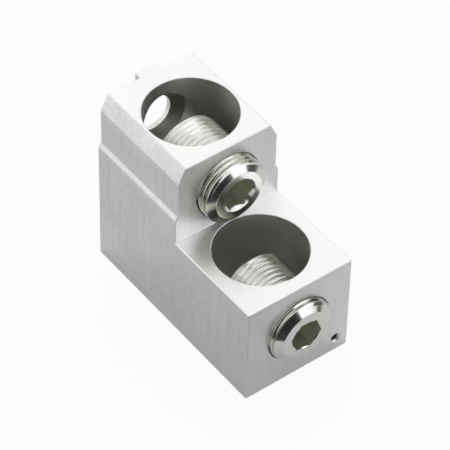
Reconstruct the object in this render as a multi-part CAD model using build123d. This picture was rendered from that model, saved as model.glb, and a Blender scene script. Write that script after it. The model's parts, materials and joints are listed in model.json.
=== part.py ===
"""Two-barrel clamp lug: a stepped aluminium block with two cable bores, each closed on by a socket set screw.

X is across the block, Y runs from the lower tier at the front to the contact face at the back, Z is up.
The origin is the centre of the mounting hole, on the flat contact face at the back.
"""
import os
from math import radians, tan

from build123d import *

# Extruded section of the block, in millimetres
BLOCK_WIDTH = 31.0
BLOCK_HEIGHT = 53.0
LEDGE_LOW_HEIGHT = 36.8
LEDGE_HIGH_HEIGHT = 38.3
LEDGE_INSET = 0.85
TOP_CHAMFER_ACROSS = 2.1
TOP_CHAMFER_DOWN = 4.5

# Sawn length, the milled step between the two tiers, and the small radius on the block's edges
BLOCK_LENGTH = 60.7
LOWER_TIER_LENGTH = 29.0
LOWER_TIER_HEIGHT = 29.5
EDGE_RADIUS = 0.35

# Cable bores, straight through from top to bottom
CABLE_BORE_DIAMETER = 23.7
LOWER_BORE_SETBACK = 15.6
UPPER_BORE_SETBACK = 44.0
BORE_EDGE_BREAK = 0.25

# Clamp screws, M18 x 1.5, drawn plain at their crest diameter
SCREW_DIAMETER = 17.9
SCREW_LENGTH = 21.8
SCREW_FACE_DIAMETER = 13.8
SCREW_FACE_CHAMFER = 1.5
SCREW_POINT_DIAMETER = 16.0
SCREW_POINT_CHAMFER = 0.95
SOCKET_ACROSS_FLATS = 8.0
SOCKET_PILOT_DIAMETER = 7.8
SOCKET_DEPTH = 7.5
DRILL_POINT_ANGLE = 118.0
COUNTERSINK_ANGLE = 90.0

# Where each screw stands: height of its axis, how far it stands out, its socket's turn and mouth
LOWER_SCREW_HEIGHT = 15.6
LOWER_SCREW_PROUD = 3.0
LOWER_SOCKET_TURN = -9.4
LOWER_SOCKET_MOUTH = 8.5
UPPER_SCREW_HEIGHT = 40.6
UPPER_SCREW_PROUD = 4.6
UPPER_SOCKET_TURN = -5.5
UPPER_SOCKET_MOUTH = 9.7

# Tapped holes for the screws, drawn plain at a running fit on the screw's crests
TAPPED_HOLE_DIAMETER = 18.0
TAPPED_MOUTH_DIAMETER = 19.2

# Bolt recess and mounting hole in the back wall, on the upper screw's axis
RECESS_DIAMETER = 16.8
RECESS_SETBACK = 57.5
MOUNTING_HOLE_DIAMETER = 10.5

# Small pin hole low on the front face
PIN_HOLE_DIAMETER = 2.5
PIN_HOLE_DEPTH = 6.0
PIN_HOLE_MOUTH_DIAMETER = 3.3
PIN_HOLE_SIDE = 11.8
PIN_HOLE_HEIGHT = 4.2

# Locating tab on the contact face, level with the top
TAB_WIDTH = 6.1
TAB_DEPTH = 1.9
TAB_HEIGHT = 4.0

# Cutting shapes run this far past the faces that they open
OVERRUN = 1.0


def cone_length(wide, narrow, angle):
    """Length of a cone of this included angle between two diameters."""
    return (wide - narrow) / 2 / tan(radians(angle / 2))


def turned(points, axis):
    """A solid turned about Y or Z. Each point is a radius and a distance along that axis."""
    plane = Plane.XY if axis == Axis.Y else Plane.XZ
    return revolve(plane * make_face(Polyline(*points, close=True)), axis)


def section():
    """The extruded section, seen from the front."""
    half = BLOCK_WIDTH / 2
    waist = half - LEDGE_INSET
    outline = Polyline(
        (0, 0),
        (half, 0),
        (half, LEDGE_LOW_HEIGHT),
        (waist, LEDGE_HIGH_HEIGHT),
        (waist, BLOCK_HEIGHT - TOP_CHAMFER_DOWN),
        (waist - TOP_CHAMFER_ACROSS, BLOCK_HEIGHT),
        (0, BLOCK_HEIGHT),
        close=True,
    )
    right = make_face(outline)
    return right + mirror(right, Plane.YZ)


def stepped_bar():
    """A length of the section with its front milled down to the lower tier, and its edges softened."""
    bar = extrude(Plane.XZ * section(), -BLOCK_LENGTH)
    milled = Pos(0, -OVERRUN, LOWER_TIER_HEIGHT) * Box(
        BLOCK_WIDTH + 2 * OVERRUN,
        LOWER_TIER_LENGTH + OVERRUN,
        BLOCK_HEIGHT,
        align=(Align.CENTER, Align.MIN, Align.MIN),
    )
    stepped = bar - milled
    return fillet(stepped.edges(), EDGE_RADIUS)


def cable_bore(setback, height):
    """A straight bore from the base to a tier's top, with a broken edge at both mouths."""
    radius = CABLE_BORE_DIAMETER / 2
    flare = radius + BORE_EDGE_BREAK + OVERRUN
    profile = [
        (0, -OVERRUN),
        (flare, -OVERRUN),
        (radius, BORE_EDGE_BREAK),
        (radius, height - BORE_EDGE_BREAK),
        (flare, height + OVERRUN),
        (0, height + OVERRUN),
    ]
    return Pos(0, setback, 0) * turned(profile, Axis.Z)


def mouth(hole, rim, angle):
    """The countersink at a hole's mouth, with the face at zero: the first points of a turned profile."""
    slope = tan(radians(angle / 2))
    return [
        (0, -OVERRUN),
        (rim / 2 + OVERRUN * slope, -OVERRUN),
        (hole / 2, cone_length(rim, hole, angle)),
    ]


def drilled(hole, depth, rim):
    """A blind drilled hole from a face at zero, with a countersunk mouth and the drill's pointed floor."""
    point = depth + cone_length(hole, 0, DRILL_POINT_ANGLE)
    return turned(mouth(hole, rim, COUNTERSINK_ANGLE) + [(hole / 2, depth), (0, point)], Axis.Y)


def tapped_hole(face_setback, bore_setback, height):
    """A hole from a front face into the cable bore behind it."""
    depth = bore_setback - face_setback
    profile = mouth(TAPPED_HOLE_DIAMETER, TAPPED_MOUTH_DIAMETER, COUNTERSINK_ANGLE)
    profile += [(TAPPED_HOLE_DIAMETER / 2, depth), (0, depth)]
    return Pos(0, face_setback, height) * turned(profile, Axis.Y)


def bolt_recess():
    """The drilled recess behind the upper bore, which takes the mounting bolt's head."""
    depth = RECESS_SETBACK - UPPER_BORE_SETBACK
    point = depth + cone_length(RECESS_DIAMETER, 0, DRILL_POINT_ANGLE)
    profile = [(0, 0), (RECESS_DIAMETER / 2, 0), (RECESS_DIAMETER / 2, depth), (0, point)]
    return Pos(0, UPPER_BORE_SETBACK, UPPER_SCREW_HEIGHT) * turned(profile, Axis.Y)


def mounting_hole():
    """The bolt's clearance hole, through what is left of the back wall."""
    radius = MOUNTING_HOLE_DIAMETER / 2
    profile = [(0, 0), (radius, 0), (radius, BLOCK_LENGTH), (0, BLOCK_LENGTH)]
    return Pos(0, UPPER_BORE_SETBACK, UPPER_SCREW_HEIGHT) * turned(profile, Axis.Y)


def locating_tab():
    """The small square-edged tab at the top of the contact face."""
    tab = Box(TAB_WIDTH, 2 * TAB_DEPTH, TAB_HEIGHT, align=(Align.CENTER, Align.CENTER, Align.MAX))
    return Pos(0, BLOCK_LENGTH, BLOCK_HEIGHT) * tab


def lug_body():
    """The whole block: one piece of metal."""
    block = stepped_bar() + locating_tab()
    block -= cable_bore(LOWER_BORE_SETBACK, LOWER_TIER_HEIGHT)
    block -= cable_bore(UPPER_BORE_SETBACK, BLOCK_HEIGHT)
    block -= tapped_hole(0, LOWER_BORE_SETBACK, LOWER_SCREW_HEIGHT)
    block -= tapped_hole(LOWER_TIER_LENGTH, UPPER_BORE_SETBACK, UPPER_SCREW_HEIGHT)
    block -= bolt_recess()
    block -= mounting_hole()
    pin_hole = drilled(PIN_HOLE_DIAMETER, PIN_HOLE_DEPTH, PIN_HOLE_MOUTH_DIAMETER)
    block -= Pos(PIN_HOLE_SIDE, 0, PIN_HOLE_HEIGHT) * pin_hole
    return block


def hexagon_socket(turn, mouth_diameter):
    """The key's socket, from a face at zero: a hexagon on a drilled pilot, with a countersunk mouth."""
    hexagon = RegularPolygon(SOCKET_ACROSS_FLATS / 2, 6, major_radius=False, rotation=turn)
    socket = extrude(Plane.XZ * hexagon, -SOCKET_DEPTH)
    return socket + drilled(SOCKET_PILOT_DIAMETER, SOCKET_DEPTH, mouth_diameter)


def clamp_screw(turn, mouth_diameter):
    """A set screw with its outer face at zero and its clamping point along +Y."""
    radius = SCREW_DIAMETER / 2
    profile = [
        (0, 0),
        (SCREW_FACE_DIAMETER / 2, 0),
        (radius, SCREW_FACE_CHAMFER),
        (radius, SCREW_LENGTH - SCREW_POINT_CHAMFER),
        (SCREW_POINT_DIAMETER / 2, SCREW_LENGTH),
        (0, SCREW_LENGTH),
    ]
    return turned(profile, Axis.Y) - hexagon_socket(turn, mouth_diameter)


lower_screw = clamp_screw(LOWER_SOCKET_TURN, LOWER_SOCKET_MOUTH)
upper_screw = clamp_screw(UPPER_SOCKET_TURN, UPPER_SOCKET_MOUTH)
pieces = {
    "lug_body": lug_body(),
    "lower_clamp_screw": Pos(0, -LOWER_SCREW_PROUD, LOWER_SCREW_HEIGHT) * lower_screw,
    "upper_clamp_screw": Pos(0, LOWER_TIER_LENGTH - UPPER_SCREW_PROUD, UPPER_SCREW_HEIGHT) * upper_screw,
}

to_origin = Pos(0, -BLOCK_LENGTH, -UPPER_SCREW_HEIGHT)
os.makedirs("parts", exist_ok=True)
for node, solid in pieces.items():
    export_step(to_origin * solid, f"parts/{node}.step")
    print(node, "volume", round(solid.volume, 1), "mm3")
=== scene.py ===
# %% [markdown]
# # A cable terminal lug, dressed for its portrait
#
# The object is a stepped block of plated aluminium. A heavy cable goes down each of its two
# vertical bores, and a hexagon-socket set screw runs in from the front and clamps it. The
# solid model already fixes every size. This lesson gives that model its looks: crisp edges
# with a small radius, real threads, mill marks, and the light of a small product studio.
#
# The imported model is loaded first, as a frame that never moves. All lengths below are in
# millimetres, in the frame's own axes, and are turned into metres when a mesh is made.

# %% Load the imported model
import json
import math

import bpy
import numpy as np
from mathutils import Matrix, Vector


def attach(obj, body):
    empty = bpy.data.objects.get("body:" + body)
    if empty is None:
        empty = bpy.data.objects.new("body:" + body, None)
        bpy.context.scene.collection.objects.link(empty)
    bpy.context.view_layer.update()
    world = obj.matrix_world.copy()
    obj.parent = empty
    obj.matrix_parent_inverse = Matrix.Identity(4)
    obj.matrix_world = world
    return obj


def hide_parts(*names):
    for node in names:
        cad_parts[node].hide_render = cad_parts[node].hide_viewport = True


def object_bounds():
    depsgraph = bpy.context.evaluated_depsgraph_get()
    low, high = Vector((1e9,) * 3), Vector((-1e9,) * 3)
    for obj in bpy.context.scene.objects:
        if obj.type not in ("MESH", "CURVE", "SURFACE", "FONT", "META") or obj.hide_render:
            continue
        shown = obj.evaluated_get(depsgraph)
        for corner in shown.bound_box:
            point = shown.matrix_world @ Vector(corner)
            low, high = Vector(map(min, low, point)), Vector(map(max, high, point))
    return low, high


MM = 0.001
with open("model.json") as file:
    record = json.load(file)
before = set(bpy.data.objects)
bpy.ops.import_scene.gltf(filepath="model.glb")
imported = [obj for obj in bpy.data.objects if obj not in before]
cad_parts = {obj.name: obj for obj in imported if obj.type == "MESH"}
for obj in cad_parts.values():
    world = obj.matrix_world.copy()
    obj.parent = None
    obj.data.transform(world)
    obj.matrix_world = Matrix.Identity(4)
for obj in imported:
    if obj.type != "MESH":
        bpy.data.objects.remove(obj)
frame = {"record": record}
cad_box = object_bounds()
print("the packed model is", [round((b - a) / MM, 1) for a, b in zip(*cad_box)], "mm")

# %% [markdown]
# ## The block's own sizes
#
# The frame's origin is the centre of the mounting hole on the back face, so the front lies
# at minus Y and the base at minus Z. The outside sizes come from the frame's box, and the
# places of the holes from the mounts in its record, so no number is written down twice. The
# few sizes that the frame doesn't state are named here, as on the part's drawing.

# %% Name the sizes
def in_millimetres(lengths):
    """Lengths from metres, rounded to a thousandth of a millimetre."""
    return [round(length / MM, 3) for length in lengths]


lowest, highest = in_millimetres(cad_box[0]), in_millimetres(cad_box[1])
PLACES = {mount["name"]: in_millimetres(mount["pos_m"]) for mount in frame["record"]["mounts"]}
HALF_WIDTH, UPPER_TOP, BASE = highest[0], highest[2], lowest[2]
FRONT, STEP, BACK = -60.7, -31.7, 0.0
LEDGE = {"low": BASE + 36.8, "high": BASE + 38.3, "inset": 0.85}
SHOULDER = {"across": 2.1, "down": 4.5}
BORE_RADIUS = 11.85
BORES = {which: PLACES[f"{which}_cable_bore"][1:] for which in ("lower", "upper")}
LOWER_TOP = BORES["lower"][1]
print("bores stand at setback and top", BORES)

# %% [markdown]
# ## One skin for every piece
#
# Nearly all of this object is turned, drilled or drawn: a profile carried round an axis or
# along a line. Such a shape is a grid of points, so numpy can work it out at once and one
# helper can wrap any grid into a closed skin. Blender's own cylinders would also start the
# job, but their ends and segments could not follow a thread or a drill point.

# %% Wrap a grid into a mesh
def skin(name, grid):
    """A closed mesh from a grid of points: rows lie along the piece and columns go round it.
    Each face joins a point to the next one round and to the same two in the next row, and the
    first and the last row are each closed by one flat face."""
    rows, columns = grid.shape[:2]
    here = np.arange(rows * columns).reshape(rows, columns)
    round_ = np.roll(here, -1, axis=1)
    quads = np.stack([here[:-1], round_[:-1], round_[1:], here[1:]], -1).reshape(-1, 4)
    faces = quads.tolist() + [here[0][::-1].tolist(), here[-1].tolist()]
    return make(name, grid.reshape(-1, 3), faces)


def make(name, points, faces):
    """A Blender object from points in millimetres and faces of point numbers, turned outwards."""
    mesh = bpy.data.meshes.new(name)
    mesh.from_pydata((points * MM).tolist(), [], faces)
    mesh.update()
    if signed_volume(mesh) < 0:
        mesh.flip_normals()
    piece = bpy.data.objects.new(name, mesh)
    bpy.context.scene.collection.objects.link(piece)
    return piece


def signed_volume(mesh):
    """A closed mesh's volume, below zero when its faces point inwards: a sixth of the sum over
    its triangles of a . (b x c), where a, b and c are the triangle's corners."""
    mesh.calc_loop_triangles()
    corner = np.empty(len(mesh.loop_triangles) * 3, np.int32)
    mesh.loop_triangles.foreach_get("vertices", corner)
    place = np.empty(len(mesh.vertices) * 3)
    mesh.vertices.foreach_get("co", place)
    a, b, c = place.reshape(-1, 3)[corner.reshape(-1, 3)].transpose(1, 0, 2)
    return float((a * np.cross(b, c)).sum()) / 6


print("helpers ready: skin, make")

# %% [markdown]
# ## Turned and drawn shapes
#
# The screws, the bores and every drilled hole are turned: a line of points swings round an
# axis. The block and the hexagon socket are drawn: an outline is pushed along a line. Curves
# with a bevel could do both, but two short formulas give exact grids and need no clean-up.

# %% Turn a profile and draw an outline
def turned(name, profile, axis, centre, segments=160):
    """A turned shape. Point (i, j) = centre + radius_i * (cos t_j, sin t_j) across the axis
    + distance_i along it, where profile holds (radius, distance) and t goes once round."""
    radius, along = np.array(profile, float).T[:, :, None]
    t = np.linspace(0, 2 * np.pi, segments, endpoint=False)[None, :]
    cosine, sine, level = radius * np.cos(t), radius * np.sin(t), along + 0 * t
    order = [cosine, level, sine] if axis == "Y" else [cosine, sine, level]
    return skin(name, np.stack(order, -1) + np.array(centre, float))


def drawn(name, outline, start, end):
    """A drawn bar: the outline, points of (x, z), is repeated at two setbacks along Y."""
    x, z = np.array(outline, float).T
    return skin(name, np.array([np.column_stack([x, np.full(len(x), y), z]) for y in (start, end)]))


print("helpers ready: turned, drawn")

# %% [markdown]
# ## Cutting and joining
#
# A machinist starts from a bar and cuts it. A Boolean modifier does the same with meshes,
# and it keeps the walls as smooth as the cutter. The result is made permanent straight away,
# because the next cut needs a plain mesh. The cutter is thrown away after use.

# %% Cut, join and soften
OVERRUN = 1.0  # how far a cutter goes past the face that it opens
SOFTENED_TURN = math.radians(15)  # the least turn of an edge that gets a radius


def settle(piece):
    """Makes the piece's modifiers permanent: its mesh is replaced by the one that they give."""
    evaluated = piece.evaluated_get(bpy.context.evaluated_depsgraph_get())
    mesh = bpy.data.meshes.new_from_object(evaluated)
    piece.modifiers.clear()
    piece.data = mesh
    return piece


def combine(piece, tool, operation):
    """Cuts the tool from the piece, joins it on, or keeps only what both share."""
    modifier = piece.modifiers.new(operation.lower(), "BOOLEAN")
    modifier.operation = operation
    modifier.solver = "MANIFOLD"
    modifier.object = tool
    settle(piece)
    bpy.data.objects.remove(tool)
    return piece


def soften(piece, radius, segments=3):
    """Rounds every edge where the surface turns sharply."""
    modifier = piece.modifiers.new("soften", "BEVEL")
    modifier.width = radius * MM
    modifier.segments = segments
    modifier.limit_method = "ANGLE"
    modifier.angle_limit = SOFTENED_TURN
    return settle(piece)


print("helpers ready: settle, combine, soften")

# %% [markdown]
# ## The bar and its step
#
# The block starts as a bar with shoulders at the top and a ledge along each side. Its front
# half is then milled down to the lower tier. Every edge gets a radius of about a third of a
# millimetre: no real edge is perfectly sharp, and this thin strip is what catches the light.

# %% Draw the bar and mill the step
EDGE_RADIUS = 0.35
WASTE = {"half_width": 20, "past": 5}  # past: how far it runs in front of the bar and above it


def bar_outline():
    """The right half of the section from the base up, followed by its mirror image."""
    waist = HALF_WIDTH - LEDGE["inset"]
    right = [
        (HALF_WIDTH, BASE),
        (HALF_WIDTH, LEDGE["low"]),
        (waist, LEDGE["high"]),
        (waist, UPPER_TOP - SHOULDER["down"]),
        (waist - SHOULDER["across"], UPPER_TOP),
    ]
    return right + [(-x, z) for x, z in reversed(right)]


def rectangle(half_width, bottom, top):
    """The four corners (x, z) of a rectangle that stands centred on the axis."""
    return [(-half_width, bottom), (half_width, bottom), (half_width, top), (-half_width, top)]


block = drawn("block", bar_outline(), FRONT, BACK)
waste = rectangle(WASTE["half_width"], LOWER_TOP, UPPER_TOP + WASTE["past"])
combine(block, drawn("waste", waste, FRONT - WASTE["past"], STEP), "DIFFERENCE")
soften(block, EDGE_RADIUS)
print("block:", len(block.data.polygons), "faces after the edges are softened")

# %% [markdown]
# ## The locating tab
#
# A small tab stands out of the back face, level with the top. It drops into a slot of the
# switch's terminal and stops the lug from turning. It is one more short drawn bar, rooted
# 2 mm deep in the block and a hair below its top, so that the two never share a plane, which
# a Boolean dislikes.

# %% Join the tab on
TAB = {"half_width": 3.05, "height": 4, "out": 1.9, "root": 2, "radius": 0.2, "below_top": 0.01}

tab_outline = rectangle(TAB["half_width"], UPPER_TOP - TAB["height"], UPPER_TOP - TAB["below_top"])
tab = drawn("tab", tab_outline, BACK - TAB["root"], BACK + TAB["out"])
combine(block, soften(tab, TAB["radius"], segments=2), "UNION")
print("block with its tab:", len(block.data.polygons), "faces")

# %% [markdown]
# ## The cable bores
#
# Each bore is a plain turned cutter that runs past both faces. It flares at the two mouths
# by 0.15 mm, which leaves the small broken edge that a deburring tool makes. The fine rings
# of the boring bar are too shallow to be worth modelling, so the finish draws them later.

# %% Bore the two barrels
EDGE_BREAK = 0.15


def bore_profile(top):
    """Radius and height of the cutter: straight, with a 45 degree flare at each end."""
    flare = BORE_RADIUS + EDGE_BREAK + OVERRUN
    return [
        (flare, BASE - OVERRUN),
        (BORE_RADIUS, BASE + EDGE_BREAK),
        (BORE_RADIUS, top - EDGE_BREAK),
        (flare, top + OVERRUN),
    ]


for which, (setback, top) in BORES.items():
    cutter = turned(f"{which}_bore", bore_profile(top), "Z", (0, setback, 0), segments=224)
    combine(block, cutter, "DIFFERENCE")
print("block with its bores:", len(block.data.polygons), "faces")

# %% [markdown]
# ## Threads
#
# A thread is one ridge that climbs round a rod. On a grid, each row is one point of the
# ridge's section, and every row slides along the axis by one pitch over a full turn. The row
# that leaves the grid at the seam meets the row one pitch further on, so the seam closes by
# joining each row to that later row. The two ends are closed to a point on the axis and are
# cut away later. An array of rings would look alike from afar, but it would not run out at
# the end of the screw, and that run-out is plain to see in the photograph.

# %% Work out a threaded rod
PITCH = 1.5


def threaded_rod(name, height, start, length, section, segments=144):
    """A right-hand thread along Y. Point (i, j): radius = section radius_i, angle = t_j from
    +X towards +Z, setback = start + section distance_i - pitch * t_j / a full turn.
    section holds the (distance, radius) points of one pitch, repeated along the length."""
    section = np.array(section, float)
    per_pitch = len(section)
    turns = int(math.ceil(length / PITCH)) + 2
    along = (np.arange(turns)[:, None] * PITCH + section[None, :, 0]).ravel()
    radius = np.tile(section[:, 1], turns)
    t = np.linspace(0, 2 * np.pi, segments, endpoint=False)
    setback = start + along[:, None] - PITCH * t[None, :] / (2 * np.pi)
    grid = np.stack([radius[:, None] * np.cos(t), setback, radius[:, None] * np.sin(t)], -1)
    tips = [[0, setback[0].min() - 1, 0], [0, setback[-1].max() + 1, 0]]
    points = np.concatenate([grid.reshape(-1, 3), tips])
    here = np.arange(grid.shape[0] * segments).reshape(grid.shape[0], segments)
    quads = np.stack([here[:-1, :-1], here[:-1, 1:], here[1:, 1:], here[1:, :-1]], -1).reshape(-1, 4)
    first, last = here[:-per_pitch, 0], here[per_pitch:, -1]
    seam = np.stack([last[:-1], first[:-1], first[1:], last[1:]], -1)
    front = np.concatenate([here[0], here[1 : per_pitch + 1, -1]])[::-1]
    back = np.concatenate([here[-1], here[-per_pitch - 1 : -1, 0]])
    faces = quads.tolist() + seam.tolist()
    for ring, tip in ((front, len(points) - 2), (back, len(points) - 1)):
        faces += np.stack([ring, np.roll(ring, -1), np.full(len(ring), tip)], -1).tolist()
    return make(name, points + np.array([0, 0, height]), faces)


print("helper ready: threaded_rod")

# %% [markdown]
# ## How each screw stands
#
# The two screws are the same article, driven in by different amounts and left at different
# turns. The record says where each key socket is. The turn of the hexagon, the width of its
# countersink and the place where a ridge crosses the left side were read off the photograph,
# and so was how much painted shade and olive stain each screw gets: the lower one gets little
# and still shines.

# %% Say how each screw stands
SCREWS = {
    # The last value of each screw scales its painted shade and olive stain.
    "lower": {"enters": FRONT, "turn": -9.4, "mouth": 8.5, "crest_at": -62.6, "shade_and_stain": 0.12},
    "upper": {"enters": STEP, "turn": -5.5, "mouth": 9.7, "crest_at": -34.9, "shade_and_stain": 1.0},
}
for which, screw in SCREWS.items():
    _, screw["face"], screw["axis"] = PLACES[f"{which}_key_socket"]
print("screws stand at", {which: (screw["face"], screw["axis"]) for which, screw in SCREWS.items()})

# %% [markdown]
# ## The tapped holes
#
# Behind each front face the screw runs in a tapped hole that opens into the bore. The cutter
# is a threaded rod whose ridge stands a little over the screw's own crest, so the hole shows
# a real groove and the screw still has room. A short cone opens the mouth.

# %% Tap the two holes
HOLE_RADIUS, GROOVE_RADIUS = 9.0, 9.36
HOLE_SECTION = [
    (-0.28, HOLE_RADIUS), (-0.07, GROOVE_RADIUS), (0.07, GROOVE_RADIUS),
    (0.28, HOLE_RADIUS), (0.6, HOLE_RADIUS), (0.95, HOLE_RADIUS),
]
TAP_MOUTH = {"radius": 9.35, "depth": 0.45}
ROD_PAST = 4  # a rod starts at least this far in front of its face, and a screw's ends as far behind
TAP_SHORT = 4  # the tap's length stops this far before the bore's axis, where the bore is open


def first_crest(screw, before):
    """The setback where a rod starts, at or in front of before, so that a crest crosses nine
    o'clock at crest_at. A crest has come back by half a pitch there, so half a pitch is added."""
    phase = screw["crest_at"] + PITCH / 2
    return phase - PITCH * math.ceil((phase - before) / PITCH)


for which, screw in SCREWS.items():
    face, height = screw["enters"], screw["axis"]
    start = first_crest(screw, face - ROD_PAST)
    length = BORES[which][0] - start - TAP_SHORT
    combine(block, threaded_rod(f"{which}_tap", height, start, length, HOLE_SECTION), "DIFFERENCE")
    wide, deep = TAP_MOUTH["radius"], TAP_MOUTH["depth"]
    cone = [(wide + OVERRUN, -OVERRUN), (wide - deep, deep)]
    combine(block, turned(f"{which}_tap_mouth", cone, "Y", (0, face, height)), "DIFFERENCE")
print("block with its tapped holes:", len(block.data.polygons), "faces")

# %% [markdown]
# ## The bolt recess, the mounting hole and the pin hole
#
# A drill leaves a cone at the bottom of its hole, and that cone is modelled too: through the
# upper bore one can look at it, with daylight in the mounting hole behind it. The small pin
# hole sits low on the front face. A cone's sides slope by about 31 degrees, as any common
# drill leaves them, and its tip is a tiny disc, because a turned grid can't end in one point.
# The recess is cut from the upper bore's axis to its floor, and the mounting hole from inside
# the bore to a little past the back face.

# %% Drill the rest
RECESS = {"radius": 8.4, "floor": -3.2, "tip": (0.05, 5.02)}
MOUNTING_HOLE = {"radius": 5.25, "from": -13, "to": 2}
PIN_HOLE = {"radius": 1.05, "depth": 6, "tip": (0.02, 6.62), "mouth": 1.5}
PIN_ACROSS, _, PIN_HEIGHT = PLACES["pin_hole"]


def recess_profile():
    """The wall from the bore's axis to the floor, and the drill's cone behind it."""
    radius, start = RECESS["radius"], BORES["upper"][0] - RECESS["floor"]
    return [(radius, start), (radius, 0), RECESS["tip"]]


def pin_hole_profile():
    """A 45 degree mouth, the wall and the drill's cone."""
    radius, mouth = PIN_HOLE["radius"], PIN_HOLE["mouth"]
    opening = [(mouth + OVERRUN, -OVERRUN), (radius, mouth - radius)]
    return opening + [(radius, PIN_HOLE["depth"]), PIN_HOLE["tip"]]


through = [(MOUNTING_HOLE["radius"], MOUNTING_HOLE[end]) for end in ("from", "to")]
for name, profile, centre in (
    ("recess", recess_profile(), (0, RECESS["floor"], 0)),
    ("mounting_hole", through, (0, BACK, 0)),
    ("pin_hole", pin_hole_profile(), (PIN_ACROSS, FRONT, PIN_HEIGHT)),
):
    combine(block, turned(name, profile, "Y", centre, segments=96), "DIFFERENCE")
print("block drilled:", len(block.data.polygons), "faces")

# %% [markdown]
# ## The set screws
#
# The screw is made as the real one is: a blank with a chamfer at each end, a thread, and a
# hexagon socket. The blank and a longer threaded rod are laid over each other and only the
# part that both share is kept, so the thread runs out on the chamfers by itself. A plain disc
# joined to the rod keeps the groove out of the outer chamfer's first millimetre. Then the
# hexagon, the pilot hole with its drill point and the countersink are cut from the face.

# %% Thread a blank and broach its socket
SCREW_LENGTH = 21.8
CREST = 8.95
# One pitch of the ridge as (distance, radius), and the blank and the disc as (radius, depth)
SCREW_SECTION = [
    (-0.6, 8.17), (-0.22, 8.82), (-0.12, 8.93), (0, CREST), (0.12, 8.93),
    (0.22, 8.82), (0.6, 8.17), (0.68, 8.12), (0.75, 8.11), (0.82, 8.12),
]
BLANK = [
    (6.72, 0), (6.84, 0.02), (6.95, 0.1), (9.6, 1.75),
    (9.6, SCREW_LENGTH - 1.6), (8.1, SCREW_LENGTH - 0.08), (7.95, SCREW_LENGTH),
]
LEAD = [(8.25, -6), (8.25, 0.94)]
SOCKET = {"half_across": 4, "depth": 7.5, "pilot": 3.97, "tip": (0.02, 9.88), "countersink_to": 3.8}


def hexagon(screw):
    """The socket's six corners (x, z), at half the width across flats / cos 30 degrees."""
    angle = np.radians(screw["turn"] + 60 * np.arange(6))
    corner = SOCKET["half_across"] / math.cos(math.radians(30))
    return np.stack([corner * np.cos(angle), corner * np.sin(angle) + screw["axis"]], -1)


def set_screw(which, screw):
    """A threaded rod shared with its chamfered blank, less the socket's three cuts."""
    face, height = screw["face"], screw["axis"]
    place = (0, face, height)
    start = first_crest(screw, face - ROD_PAST)
    length = face + SCREW_LENGTH + ROD_PAST - start
    piece = turned(f"{which}_screw", BLANK, "Y", place, segments=192)
    rod = threaded_rod("rod", height, start, length, SCREW_SECTION, segments=168)
    combine(rod, turned("lead", LEAD, "Y", place, segments=96), "UNION")
    combine(piece, rod, "INTERSECT")
    socket = drawn("hexagon", hexagon(screw), face - OVERRUN, face + SOCKET["depth"])
    combine(piece, socket, "DIFFERENCE")
    pilot = [(SOCKET["pilot"], -OVERRUN), (SOCKET["pilot"], SOCKET["depth"]), SOCKET["tip"]]
    combine(piece, turned("pilot", pilot, "Y", place, segments=96), "DIFFERENCE")
    rim, narrow = screw["mouth"] / 2, SOCKET["countersink_to"]
    countersink = [(rim + OVERRUN, -OVERRUN), (narrow, rim - narrow)]
    return combine(piece, turned("countersink", countersink, "Y", place, segments=96), "DIFFERENCE")


screws = {which: set_screw(which, screw) for which, screw in SCREWS.items()}
for which, piece in screws.items():
    print(which, "screw:", len(piece.data.polygons), "faces")

# %% [markdown]
# ## Crisp shading
#
# The meshes are fine enough to look round, if the light is told which edges are real. Edges
# that turn by more than 35 degrees stay sharp and all others are smoothed. A Weighted Normal
# modifier then lets the large flat faces decide the shading at their rims, so that the thin
# rounded edges take all of the bend and the flats stay flat.

# %% Shade the pieces
SHARP_TURN = math.radians(35)


def shade(piece):
    """Smooth shading with real edges kept, and flats kept flat."""
    piece.data.shade_smooth()
    piece.data.set_sharp_from_angle(angle=SHARP_TURN)
    modifier = piece.modifiers.new("flat faces", "WEIGHTED_NORMAL")
    modifier.keep_sharp = True
    return settle(piece)


for piece in [block, *screws.values()]:
    shade(piece)
print("shaded", 1 + len(screws), "pieces")

# %% [markdown]
# ## Building finishes from nodes
#
# A finish is a small web of nodes. Writing it in Python takes two lines per node unless a
# helper sets the sockets, so the first one adds a node, sets its options and fills its inputs:
# a socket passed as a value becomes a link. Three more wrap the nodes that come up most. A Mix
# node has a set of sockets for each kind of data, so its colour sockets go by their numbers.

# %% Add nodes
def put(tree, kind, inputs=None, **options):
    """Adds a shader node. inputs maps a socket's name or number to a value or to an output."""
    node = tree.nodes.new("ShaderNode" + kind)
    for option, value in options.items():
        setattr(node, option, value)
    for key, value in (inputs or {}).items():
        if isinstance(value, bpy.types.NodeSocket):
            tree.links.new(value, node.inputs[key])
        else:
            node.inputs[key].default_value = value
    return node


def reckon(tree, operation, *values, clamp=False):
    """The result of a Math node on two or three values."""
    return put(tree, "Math", dict(enumerate(values)), operation=operation, use_clamp=clamp).outputs[0]


def mix_colours(tree, share, first, second):
    """The first colour where the share is 0 and the second where it is 1."""
    factor, a, b, result = 0, 6, 7, 2
    return put(tree, "Mix", {factor: share, a: first, b: second}, data_type="RGBA").outputs[result]


def stretch_range(tree, value, low, high, given=(0.0, 1.0)):
    """Maps a value from the given range to the one from low to high."""
    ends = {"From Min": given[0], "From Max": given[1], "To Min": low, "To Max": high}
    return put(tree, "MapRange", {"Value": value, **ends}).outputs["Result"]


print("helpers ready: put, reckon, mix_colours, stretch_range")

# %% [markdown]
# ## Tool marks, as one shared group
#
# Milling, drawing and boring all leave fine lines in one direction, over a faint speckle and
# slow clouds of tone. One node group makes all three from the position on the piece. Its
# Stretch input squeezes the position, so that the noise becomes lines: a large number gives
# fine lines across that axis, and a small one lets them run on along it. Each finish then
# places the group with its own stretch and its own shares.

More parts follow.
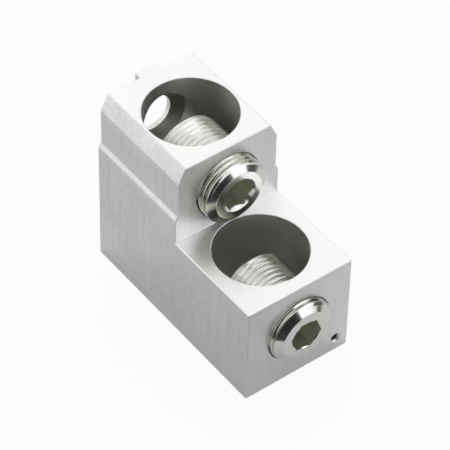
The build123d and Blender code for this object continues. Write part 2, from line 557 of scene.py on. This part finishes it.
# %% Make the tool-mark group
GRAINS = {  # each noise's settings; a scale is in grains per metre, or per unit once stretched
    "Lines": {"Scale": 1.0, "Detail": 5.0, "Roughness": 0.62},
    "Speckle": {"Scale": 2600.0, "Detail": 3.0, "Roughness": 0.6},
    "Clouds": {"Scale": 95.0, "Detail": 3.0, "Roughness": 0.5},
}
SPECKLE_IN_HEIGHT = 0.35


def tool_mark_group():
    """Tone = 0.5 + the sum over lines, speckle and clouds of (noise - 0.5) * its share.
    Height = the lines + a small share of the speckle."""
    tree = bpy.data.node_groups.new("tool marks", "ShaderNodeTree")
    kinds = {"Position": "Vector", "Stretch": "Vector", **{name: "Float" for name in GRAINS}}
    for name, kind in kinds.items():
        tree.interface.new_socket(name, in_out="INPUT", socket_type="NodeSocket" + kind)
    for name in ("Tone", "Height"):
        tree.interface.new_socket(name, in_out="OUTPUT", socket_type="NodeSocketFloat")
    given = tree.nodes.new("NodeGroupInput").outputs
    result = tree.nodes.new("NodeGroupOutput").inputs
    position = given["Position"]
    stretched = put(tree, "VectorMath", {0: position, 1: given["Stretch"]}, operation="MULTIPLY")
    marks = {}
    for name, grain in GRAINS.items():
        at = stretched.outputs[0] if name == "Lines" else position
        marks[name] = put(tree, "TexNoise", {"Vector": at, **grain}).outputs["Fac"]
    tone = 0.5
    for name, mark in marks.items():
        tone = reckon(tree, "MULTIPLY_ADD", reckon(tree, "SUBTRACT", mark, 0.5), given[name], tone)
    height = reckon(tree, "MULTIPLY_ADD", marks["Speckle"], SPECKLE_IN_HEIGHT, marks["Lines"])
    tree.links.new(tone, result["Tone"])
    tree.links.new(height, result["Height"])
    return tree


TOOL_MARKS = tool_mark_group()
print("group made:", TOOL_MARKS.name)

# %% [markdown]
# ## What a metal finish is
#
# Every finish here is bare or plated metal, so Metallic is 1 and the colour is the colour of
# its reflections. What tells them apart is how rough they are, which way their lines run, and
# how light they are painted, which on the block's tops, ends and recess and in the sockets is
# painted light and shade. The tone from the group mixes a darker and a lighter shade and nudges
# the roughness, and the height goes through a Bump node, which bends the light over the fine
# lines.
#
# The screws also get painted shade: darker thread roots and dark bands where shade and dark
# reflections fall, and on the upper screw's left an olive stain that is partly real and partly
# painted shade. An attribute on the screws says where, and there the finish turns to a dark
# olive and a little rougher, more in the dark parts of the tone than in the light ones, so that
# its rim is uneven.

# %% Make a metal finish
MICROMETRE = 1e-6
# Painted shade and stain also add this much roughness at full strength.
SHADE_AND_STAIN_ROUGHNESS = 0.08  # what full dullness adds to the roughness
SHADE_AND_STAIN_BY_TONE = {"low": 1.5, "high": 0.5, "given": (0.3, 0.7)}


def shade_and_stain_share(tree, tone):
    """The attribute of painted shade and stain, times 1.5 where the tone is dark, falling to 0.5 where it
    is light.
    """
    painted_shade_and_stain = put(tree, "Attribute", attribute_name="painted_shade_and_stain").outputs["Fac"]
    uneven = stretch_range(tree, tone, **SHADE_AND_STAIN_BY_TONE)
    return reckon(tree, "MULTIPLY", painted_shade_and_stain, uneven, clamp=True)


def metal(name, dark, light, roughness, stretch, shares, depth, shade_and_stain=None):
    """A metal whose colour runs from dark to light and whose roughness runs over a range with
    the tone of its tool marks. stretch gives the marks per metre along X, Y and Z, and depth is
    their height in micrometres. The last argument is the dark olive painted where the screws'
    attribute asks for painted shade and stain."""
    material = bpy.data.materials.new(name)
    material.use_nodes = True
    tree = material.node_tree
    surface = tree.nodes["Principled BSDF"].inputs
    marks = put(tree, "Group", node_tree=TOOL_MARKS)
    tree.links.new(put(tree, "TexCoord").outputs["Object"], marks.inputs["Position"])
    marks.inputs["Stretch"].default_value = stretch
    for mark, share in zip(GRAINS, shares):
        marks.inputs[mark].default_value = share
    tone, height = marks.outputs["Tone"], marks.outputs["Height"]
    colour = mix_colours(tree, tone, (*dark, 1), (*light, 1))
    gloss = stretch_range(tree, tone, *roughness)
    bump = put(tree, "Bump", {"Strength": 1.0, "Distance": depth * MICROMETRE, "Height": height})
    # Painted shade and stain: the colour turns to the dark olive where the attribute says.
    if shade_and_stain:
        share = shade_and_stain_share(tree, tone)
        colour = mix_colours(tree, share, colour, (*shade_and_stain, 1))
        gloss = reckon(tree, "MULTIPLY_ADD", share, SHADE_AND_STAIN_ROUGHNESS, gloss)
    tree.links.new(colour, surface["Base Color"])
    tree.links.new(gloss, surface["Roughness"])
    tree.links.new(bump.outputs[0], surface["Normal"])
    surface["Metallic"].default_value = 1.0
    return material


print("helpers ready: shade_and_stain_share, metal")

# %% [markdown]
# ## The seven finishes
#
# The values tell how each surface looks. On the sides and the ends the fine lines run upright,
# so their stretch is small along Z. On the tops, the brightest faces, they run from front to
# back. The tops are painted lightest and the ends lighter than the sides, as painted light on
# one metal. A boring bar leaves rings, so the bored wall's lines are fine across Z alone and run
# on round it. The recess's floor and wall are coarse, and painted dark as painted shade in the
# recess. The screws are bright plated steel with fine lines round them, and a dark olive for
# their painted shade and stain. Their sockets are duller and yellower, and painted darker as
# painted shade in the socket, with lines that run in the way the broach went. The shares are
# those of the lines, the speckle and the clouds.

# %% Make the finishes
FINISH_VALUES = {
    "drawn side": {
        "dark": (0.60, 0.59, 0.60), "light": (0.90, 0.89, 0.90), "roughness": (0.46, 0.34),
        "stretch": (900, 900, 28), "shares": (0.7, 1.6, 0.5), "depth": 12,
    },
    # painted lighter than the sides, as painted light on the tops
    "milled top painted lighter": {
        "dark": (0.89, 0.89, 0.88), "light": (1.0, 1.0, 0.99), "roughness": (0.40, 0.28),
        "stretch": (1300, 60, 1300), "shares": (0.7, 0.9, 0.4), "depth": 8,
    },
    # painted lighter than the sides, as painted light on the ends
    "milled end painted lighter": {
        "dark": (0.78, 0.77, 0.78), "light": (1.0, 0.99, 1.0), "roughness": (0.46, 0.34),
        "stretch": (1000, 1000, 30), "shares": (0.7, 0.9, 0.4), "depth": 12,
    },
    "bored wall": {
        "dark": (0.60, 0.61, 0.58), "light": (0.90, 0.91, 0.87), "roughness": (0.45, 0.35),
        "stretch": (25, 25, 1500), "shares": (1.5, 0.4, 1.4), "depth": 14,
    },
    # painted darker, as painted shade in the recess
    "drilled floor painted darker": {
        "dark": (0.36, 0.36, 0.32), "light": (0.52, 0.52, 0.47), "roughness": (0.52, 0.42),
        "stretch": (400, 1500, 400), "shares": (0.8, 0.8, 0.5), "depth": 12,
    },
    "plated steel": {
        "dark": (0.74, 0.74, 0.69), "light": (0.99, 1.0, 0.99), "roughness": (0.20, 0.11),
        "stretch": (150, 1500, 150), "shares": (0.5, 0.4, 0.9), "depth": 4,
        # the dark olive painted for shade in the thread roots and bands, and for the stain
        "shade_and_stain": (0.24, 0.228, 0.155),
    },
    # yellower plating, painted darker as painted shade in the socket
    "broached socket painted darker": {
        "dark": (0.55, 0.565, 0.465), "light": (0.82, 0.83, 0.745), "roughness": (0.50, 0.38),
        "stretch": (900, 60, 900), "shares": (0.9, 0.6, 0.9), "depth": 6,
    },
}
FINISHES = {name: metal(name, **values) for name, values in FINISH_VALUES.items()}
print("finishes made:", ", ".join(FINISHES))

# %% [markdown]
# ## Reading a mesh with numpy
#
# A face's place and the way it faces are enough to tell how it was made, and a point's
# distance from a screw's axis tells crest from root. numpy reads a whole mesh at once, which
# is far quicker than asking Blender for one face after another.

# %% Read faces and points
def face_arrays(mesh):
    """Centres in millimetres and unit normals of all the mesh's faces."""
    count = len(mesh.polygons)
    centre, normal = np.empty(count * 3), np.empty(count * 3)
    mesh.polygons.foreach_get("center", centre)
    mesh.polygons.foreach_get("normal", normal)
    return centre.reshape(-1, 3) / MM, normal.reshape(-1, 3)


def point_array(mesh):
    """All the mesh's points in millimetres."""
    place = np.empty(len(mesh.vertices) * 3)
    mesh.vertices.foreach_get("co", place)
    return place.reshape(-1, 3) / MM


def off_axis(point, axis, at):
    """Distance of each point from a line along Y at (x, z), or along Z at (x, y)."""
    across = point[:, [0, 2]] if axis == "Y" else point[:, :2]
    return np.linalg.norm(across - np.array(at), axis=1)


def wear_finishes(piece, names, picked):
    """Gives the piece the named finishes, and each face the one that is picked by its number."""
    piece.data.materials.clear()
    for name in names:
        piece.data.materials.append(FINISHES[name])
    piece.data.polygons.foreach_set("material_index", picked.astype(np.int32))
    print(piece.name, "has faces per finish:", dict(zip(names, np.bincount(picked).tolist())))


print("helpers ready: face_arrays, point_array, off_axis, wear_finishes")

# %% [markdown]
# ## Which face of the block gets which finish
#
# The finishes follow how each face was made. Sides came out of the die, tops were milled, ends
# were sawn and milled, and everything inside a hole was bored, tapped or drilled. The rules
# are tried in that order and a later one wins. The tops and ends also get lighter colours than
# the sides, as painted light, and the recess a darker one, as painted shade.

# %% Give the block its finishes
BLOCK_FINISHES = ["drawn side", "milled top painted lighter", "milled end painted lighter", "bored wall", "drilled floor painted darker"]
# Shares of a normal along an axis: flat faces have more, and the walls of holes have less
FLAT, UPRIGHT_WALL, DRILLED_WALL, RECESS_WALL = 0.95, 0.8, 0.9, 0.5
# How far from its hole's axis a face may be, and between which setbacks
REACH = {"bore": BORE_RADIUS + 0.05, "tapped": 9.7, "pin": 1.3, "mounting": 5.3, "recess": 8.45}
TAPPED_FROM, TAPPED_TO, RECESS_FROM = FRONT + 0.5, BACK - 0.1, -12
TOP_SLACK = 0.1  # how far below the lower tier's top a milled face may lie


def pick_block_finish(mesh):
    """Each face's number in BLOCK_FINISHES, by its centre and its normal."""
    centre, normal = face_arrays(mesh)
    number = {name: place for place, name in enumerate(BLOCK_FINISHES)}
    picked = np.full(len(centre), number["drawn side"])
    # Tops get the finish painted lighter, as painted light.
    picked[(normal[:, 2] > FLAT) & (centre[:, 2] > LOWER_TOP - TOP_SLACK)] = number["milled top painted lighter"]
    picked[np.abs(normal[:, 1]) > FLAT] = number["milled end painted lighter"]
    upright = np.abs(normal[:, 2]) < UPRIGHT_WALL
    for setback, _ in BORES.values():
        near = off_axis(centre, "Z", (0, setback)) < REACH["bore"]
        picked[upright & near] = number["bored wall"]
    drilled = np.abs(normal[:, 1]) < DRILLED_WALL
    within = (centre[:, 1] > TAPPED_FROM) & (centre[:, 1] < TAPPED_TO)
    for screw in SCREWS.values():
        near = off_axis(centre, "Y", (0, screw["axis"])) < REACH["tapped"]
        picked[drilled & within & near] = number["bored wall"]
    near = off_axis(centre, "Y", (PIN_ACROSS, PIN_HEIGHT)) < REACH["pin"]
    picked[drilled & near] = number["bored wall"]
    # The recess gets the finish painted darker, as painted shade.
    distance = off_axis(centre, "Y", (0, 0))
    ring = (distance > REACH["mounting"]) & (distance < REACH["recess"])
    inner = (centre[:, 1] > RECESS_FROM) & (normal[:, 1] < RECESS_WALL)
    picked[ring & inner] = number["drilled floor painted darker"]
    return picked


wear_finishes(block, BLOCK_FINISHES, pick_block_finish(block.data))

# %% [markdown]
# ## Where the screws get painted shade and a stain
#
# In the photograph the threads are dark in their roots, the upper screw's outer end is stained
# on its left, and a grey band runs along the top right of both screws inside the bores.
# All of it is painted into the colour: painted shade in the roots and on the flanks at the top
# right, painted shade for the grey band inside the bores, and on the left an olive stain that
# is partly real and partly painted shade. Painting an image would do it, but marks worked out
# from a point's radius and its angle need no image and follow the metal. The angle starts on
# the right, at three o'clock, and goes up and over, so that twelve o'clock is 90 degrees and
# nine is 180.

# %% Work out the painted shade and stain
# Painted shade in the roots, on the flanks and in the bands, and the olive stain that is partly painted
# shade.
OUTER_ROOT = {"below": 8.88, "fade": 0.3}
OUTER_FLANK = {"at": 68, "width": 24, "more": 0.3}
INNER_ROOT = {"below": 8.4, "fade": 0.3, "share": 0.12}
INNER_VEIL = {"at": 20, "reach": 56, "fade": 12, "share": 0.16}
INNER_BAND = {"at": 66, "width": 9, "share": 0.34}
STAIN_AND_SHADE = {"at": 193, "width": 26, "on_crest": 0.7, "fade": 0.7}


def bell(angle, around):
    """exp(-((angle - at) / width)^2): 1 at the middle, fading to both sides."""
    return np.exp(-(((angle - around["at"]) / around["width"]) ** 2))


def ramp(value, span):
    """value / span, held between 0 and 1."""
    return np.clip(value / span, 0, 1)


def outer_painted_shade(radius, angle, shade_and_stain):
    """Painted shade outside the hole, in the root: ramp(below - radius). On a screw with much
    shade and stain a bell adds to below, so that at the top right the flank of the ridge gets
    painted shade as well."""
    flank = OUTER_FLANK["more"] * (bell(angle, OUTER_FLANK) * shade_and_stain)
    return ramp(OUTER_ROOT["below"] + flank - radius, OUTER_ROOT["fade"])


def inner_painted_shade(radius, angle):
    """Painted shade inside the bore: a trace in the root, an even veil over the right side that
    fades to nothing at its reach, and a bell for the grey band."""
    root = INNER_ROOT["share"] * ramp(INNER_ROOT["below"] - radius, INNER_ROOT["fade"])
    away = np.abs((angle - INNER_VEIL["at"] + 180) % 360 - 180)
    veil = INNER_VEIL["share"] * ramp(INNER_VEIL["reach"] - away, INNER_VEIL["fade"])
    return root + veil + INNER_BAND["share"] * bell(angle, INNER_BAND)


def stain_and_painted_shade(radius, angle, shade_and_stain):
    """The olive left, partly a real stain and partly painted shade: a bell, less of it on the crests and
    all of it below them.
    """
    below_crest = ramp(CREST - radius, STAIN_AND_SHADE["fade"])
    return bell(angle, STAIN_AND_SHADE) * shade_and_stain * (STAIN_AND_SHADE["on_crest"] + (1 - STAIN_AND_SHADE["on_crest"]) * below_crest)


print("helpers ready: outer_painted_shade, inner_painted_shade, stain_and_painted_shade")

# %% [markdown]
# ## Dressing the screws
#
# The painted marks hold in different places. The thread's painted shade stays off the chamfer
# in front and off the screw's end, and changes from the outer rule to the inner one at a depth
# that is hidden in the tapped hole. The stain and painted shade on the left cover the outer end,
# but not the flat face. The larger value at each point goes into the attribute. The socket's
# faces are told by how near they are to the screw's axis, and get the finish of the broach,
# which is yellower and painted darker as painted shade in the socket.

# %% Mark the painted shade and stain and give the screws their finishes
SCREW_FINISHES = ["plated steel", "broached socket painted darker"]
INNER_STARTS = 5
SOCKET_ZONE = {"radius": 4.7, "from": 0.45, "to": 10}
THREAD_ZONE = {"radius": 8.0, "from": 1.42, "to": SCREW_LENGTH - 0.6}
STAIN_AND_SHADE_ZONE = {"radius": 6.93, "to": 6}


def mark_shade_and_stain(mesh, screw):
    """Stores the larger of the thread's painted shade and of the stain and painted shade on the left as
    an attribute.
    """
    place = point_array(mesh)
    radius, depth = off_axis(place, "Y", (0, screw["axis"])), place[:, 1] - screw["face"]
    angle = np.degrees(np.arctan2(place[:, 2] - screw["axis"], place[:, 0])) % 360
    outer = outer_painted_shade(radius, angle, screw["shade_and_stain"])
    root = np.where(depth < INNER_STARTS, outer, inner_painted_shade(radius, angle))
    root *= (radius > THREAD_ZONE["radius"]) & (depth > THREAD_ZONE["from"]) & (depth < THREAD_ZONE["to"])
    stain_and_shade = stain_and_painted_shade(radius, angle, screw["shade_and_stain"])
    stain_and_shade *= (radius > STAIN_AND_SHADE_ZONE["radius"]) & (depth < STAIN_AND_SHADE_ZONE["to"])
    painted_shade_and_stain = np.maximum(root, stain_and_shade)
    attribute = mesh.attributes.new("painted_shade_and_stain", "FLOAT", "POINT")
    attribute.data.foreach_set("value", painted_shade_and_stain.astype(np.float32))
    return painted_shade_and_stain.mean()


def pick_screw_finish(mesh, screw):
    """1, the broached socket painted darker as painted shade, for faces inside the socket's zone, and 0
    for all others.
    """
    centre, _ = face_arrays(mesh)
    depth = centre[:, 1] - screw["face"]
    near = off_axis(centre, "Y", (0, screw["axis"])) < SOCKET_ZONE["radius"]
    return (near & (depth > SOCKET_ZONE["from"]) & (depth < SOCKET_ZONE["to"])).astype(int)


# The average printed is that of the painted shade and stain.
for which, piece in screws.items():
    wear_finishes(piece, SCREW_FINISHES, pick_screw_finish(piece.data, SCREWS[which]))
    print(piece.name, "is dull by", round(mark_shade_and_stain(piece.data, SCREWS[which]), 3), "on average")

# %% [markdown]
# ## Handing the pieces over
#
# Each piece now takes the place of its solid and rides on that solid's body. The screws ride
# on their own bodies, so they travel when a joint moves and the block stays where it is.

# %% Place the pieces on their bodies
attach(block, "body")
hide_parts("lug_body")
for which, piece in screws.items():
    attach(piece, f"{which}_screw")
    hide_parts(f"{which}_clamp_screw")
print("placed:", block.name, *[piece.name for piece in screws.values()])

# %% [markdown]
# ## The table
#
# The lug stands on a pale table. Seen by the camera the table is nearly white, as paper is in
# a catalogue, and it keeps a soft shadow. To the metal it is a light grey sheet with a trace
# of glow, and the upright faces, which mirror it, take their middle grey from it. A Light Path
# node tells the two apart, and a plain white plane would have burnt the block's sides out.

# %% Lay the table
TABLE_HALF = 3.0  # metres
SHEET_GREY = 0.76
SHEET_GLOW = 0.01
PAPER_GREY = 0.95
PAPER_WHITE_SHARE = 0.92


def grey(shade):
    """A neutral colour with full alpha."""
    return (shade, shade, shade, 1)


def table_paper():
    """For the camera, mostly a plain white with some paper that takes shadow. For every other
    ray, a diffuse sheet with a faint glow."""
    paper = bpy.data.materials.new("table paper")
    paper.use_nodes = True
    tree = paper.node_tree
    tree.nodes.clear()
    sheet = put(tree, "BsdfDiffuse", {"Color": grey(SHEET_GREY)}).outputs[0]
    glow = put(tree, "Emission", {"Color": grey(1), "Strength": SHEET_GLOW}).outputs[0]
    mirrored = put(tree, "AddShader", {0: sheet, 1: glow}).outputs[0]
    pale = put(tree, "BsdfDiffuse", {"Color": grey(PAPER_GREY)}).outputs[0]
    white = put(tree, "Emission", {"Color": grey(1), "Strength": 1.0}).outputs[0]
    seen = put(tree, "MixShader", {0: PAPER_WHITE_SHARE, 1: pale, 2: white}).outputs[0]
    by_camera = put(tree, "LightPath").outputs["Is Camera Ray"]
    both = put(tree, "MixShader", {0: by_camera, 1: mirrored, 2: seen}).outputs[0]
    put(tree, "OutputMaterial", {"Surface": both})
    return paper


corners = [(x * TABLE_HALF, y * TABLE_HALF, BASE * MM) for x, y in ((-1, -1), (1, -1), (1, 1), (-1, 1))]
floor_mesh = bpy.data.meshes.new("floor")
floor_mesh.from_pydata(corners, [], [(0, 1, 2, 3)])
floor_mesh.materials.append(table_paper())
floor = bpy.data.objects.new("floor", floor_mesh)
bpy.context.scene.collection.objects.link(floor)
print("table laid at", BASE, "mm")

# %% [markdown]
# ## The room
#
# The room is a white tent. It is fully white wherever the camera or a mirror-like reflection
# looks, and weaker as a source of plain light, so that the light of the lamps and the shadow
# on the table show. One world shader with a Light Path node does both.

# %% Make the room
ROOM_LIGHT = 0.6

world = bpy.data.worlds.new("studio")
bpy.context.scene.world = world
world.use_nodes = True
tree = world.node_tree
tree.nodes.clear()
rays = put(tree, "LightPath").outputs
mirrored = reckon(tree, "MAXIMUM", rays["Is Glossy Ray"], rays["Is Transmission Ray"])
looked_at = reckon(tree, "MAXIMUM", rays["Is Camera Ray"], mirrored)
room = put(tree, "Background", {"Color": grey(1), "Strength": ROOM_LIGHT}).outputs[0]
white = put(tree, "Background", {"Color": grey(1), "Strength": 1.0}).outputs[0]
both = put(tree, "MixShader", {0: looked_at, 1: room, 2: white}).outputs[0]
put(tree, "OutputWorld", {"Surface": both})
print("room lit at", ROOM_LIGHT)

# %% [markdown]
# ## The lamps
#
# Three lamps stand round the set. A large softbox behind and above lights the table, and is
# hidden from the metal's reflections, which would otherwise burn out on the milled tops. A
# long strip on the left, level with the upper tier, and a small key lamp in front on the
# right do show in the metal, as the bright lines along its edges and ridges. Places are in
# metres here, since a studio is larger than the thing in it.

# %% Set up the lamps
def aim(thing, place, target):
    """Puts a lamp or camera at a place and turns its -Z towards the target."""
    thing.location = place
    thing.rotation_euler = (Vector(target) - Vector(place)).to_track_quat("-Z", "Y").to_euler()
    bpy.context.scene.collection.objects.link(thing)


def lamp(name, size, watts, place, target):
    """A rectangular lamp of the given size in metres, aimed at the target."""
    light = bpy.data.lights.new(name, "AREA")
    light.shape = "RECTANGLE"
    light.size, light.size_y = size
    light.energy = watts
    stand = bpy.data.objects.new(name, light)
    aim(stand, place, target)
    print(name, "gives", watts, "W")
    return stand


softbox = lamp("softbox", (0.7, 0.7), 1.9, (0.35, 0.42, 0.6), (0, -0.03, -0.02))
softbox.visible_glossy = False
lamp("strip", (0.5, 0.09), 0.055, (-0.21, 0.12, 0.005), (0, -0.02, 0.005))
lamp("key", (0.3, 0.3), 0.12, (0.27, -0.55, 0.2), (0, -0.04, -0.01))

# %% [markdown]
# ## Two dark cards
#
# Without something dark to reflect, a bright screw loses its edges in a white tent, so a
# photographer stands dark cards just outside the picture. A black one in front on the left
# gives the screws their dark flanks, and a small dark grey one in front on the right adds a
# fainter dark reflection on that side. Each lies on the table for a stretch and curves up, so
# that its reflection starts softly. The cards show in reflections only.

# %% Stand the dark cards
CARD_BEND = 12.0
BEND_POINTS = 9
CARD_LIFT = 0.3  # keeps a card's flat part off the table


def bent_card(reach, rise, width):
    """A card that lies flat for its reach and then curves up: point (i, j) = profile_i swept
    along the width, where the profile is a line, a quarter circle and a second line."""
    turn = np.linspace(0, np.pi / 2, BEND_POINTS)
    out = np.concatenate([[0], reach + CARD_BEND * np.sin(turn), [reach + CARD_BEND]])
    up = np.concatenate([[0], CARD_BEND * (1 - np.cos(turn)), [rise]])
    across = np.linspace(-width / 2, width / 2, 2)
    grid = np.stack(np.broadcast_arrays(across[None, :], -out[:, None], up[:, None]), -1)
    here = np.arange(grid.shape[0] * 2).reshape(-1, 2)
    return grid.reshape(-1, 3), np.stack([here[:-1, 0], here[:-1, 1], here[1:, 1], here[1:, 0]], -1)


def card_cloth(name, shade):
    """A plain rough grey for a card."""
    cloth = bpy.data.materials.new(name)
    cloth.use_nodes = True
    surface = cloth.node_tree.nodes["Principled BSDF"].inputs
    surface["Base Color"].default_value = grey(shade)
    surface["Roughness"].default_value = 1.0
    return cloth


def stand_card(name, shape, place, swing, shade):
    """Turns a bent card by swing degrees about Z and stands it at (x, y) on the table."""
    points, faces = bent_card(*shape)
    c, s = math.cos(math.radians(swing)), math.sin(math.radians(swing))
    points = points @ np.array([[c, s, 0], [-s, c, 0], [0, 0, 1]]) + np.array([*place, BASE + CARD_LIFT])
    mesh = bpy.data.meshes.new(name)
    mesh.from_pydata((points * MM).tolist(), [], faces.tolist())
    mesh.materials.append(card_cloth(name, shade))
    card = bpy.data.objects.new(name, mesh)
    bpy.context.scene.collection.objects.link(card)
    card.visible_camera = False
    card.visible_diffuse = False
    card.visible_shadow = False
    print(name, "stands at", place)


stand_card("black_card", shape=(60, 95, 120), place=(-10, FRONT - 32), swing=-18, shade=0.02)
stand_card("grey_card", shape=(50, 64, 70), place=(96, FRONT - 43), swing=56, shade=0.1)

# %% [markdown]
# ## The camera
#
# The photograph was taken with a long lens from the front left, looking down. The camera's
# place, in metres, and its axes were solved from the block's edges. The axes are written out,
# because a long lens forgives nothing: a tenth of a degree is five pixels. The columns of the
# matrix are the camera's right, its up, and its backward direction.

# %% Set the camera
PICTURE_PIXELS = 450
FOCAL_PIXELS = 2856.6
SENSOR_WIDTH = 36
CAMERA_RIGHT = (0.7988, -0.6014, 0.0184)
CAMERA_UP = (0.4216, 0.5813, 0.6961)
CAMERA_PLACE = (-0.2968, -0.4101, 0.4818)

lens = bpy.data.cameras.new("camera")
lens.sensor_width = SENSOR_WIDTH
lens.lens = FOCAL_PIXELS / PICTURE_PIXELS * SENSOR_WIDTH
lens.clip_start, lens.clip_end = 0.01, 20
camera = bpy.data.objects.new("camera", lens)
right, up = Vector(CAMERA_RIGHT).normalized(), Vector(CAMERA_UP).normalized()
turn = Matrix((right, up, right.cross(up))).transposed().to_4x4()
camera.matrix_world = Matrix.Translation(CAMERA_PLACE) @ turn
bpy.context.scene.collection.objects.link(camera)
bpy.context.scene.camera = camera
print("camera: lens", round(lens.lens, 1), "mm")

# %% [markdown]
# ## The view transform
#
# The picture is shown through the Standard view transform. The dressed model has to
# stay inside the imported one.

# %% Set the view transform
bpy.context.scene.view_settings.view_transform = "Standard"
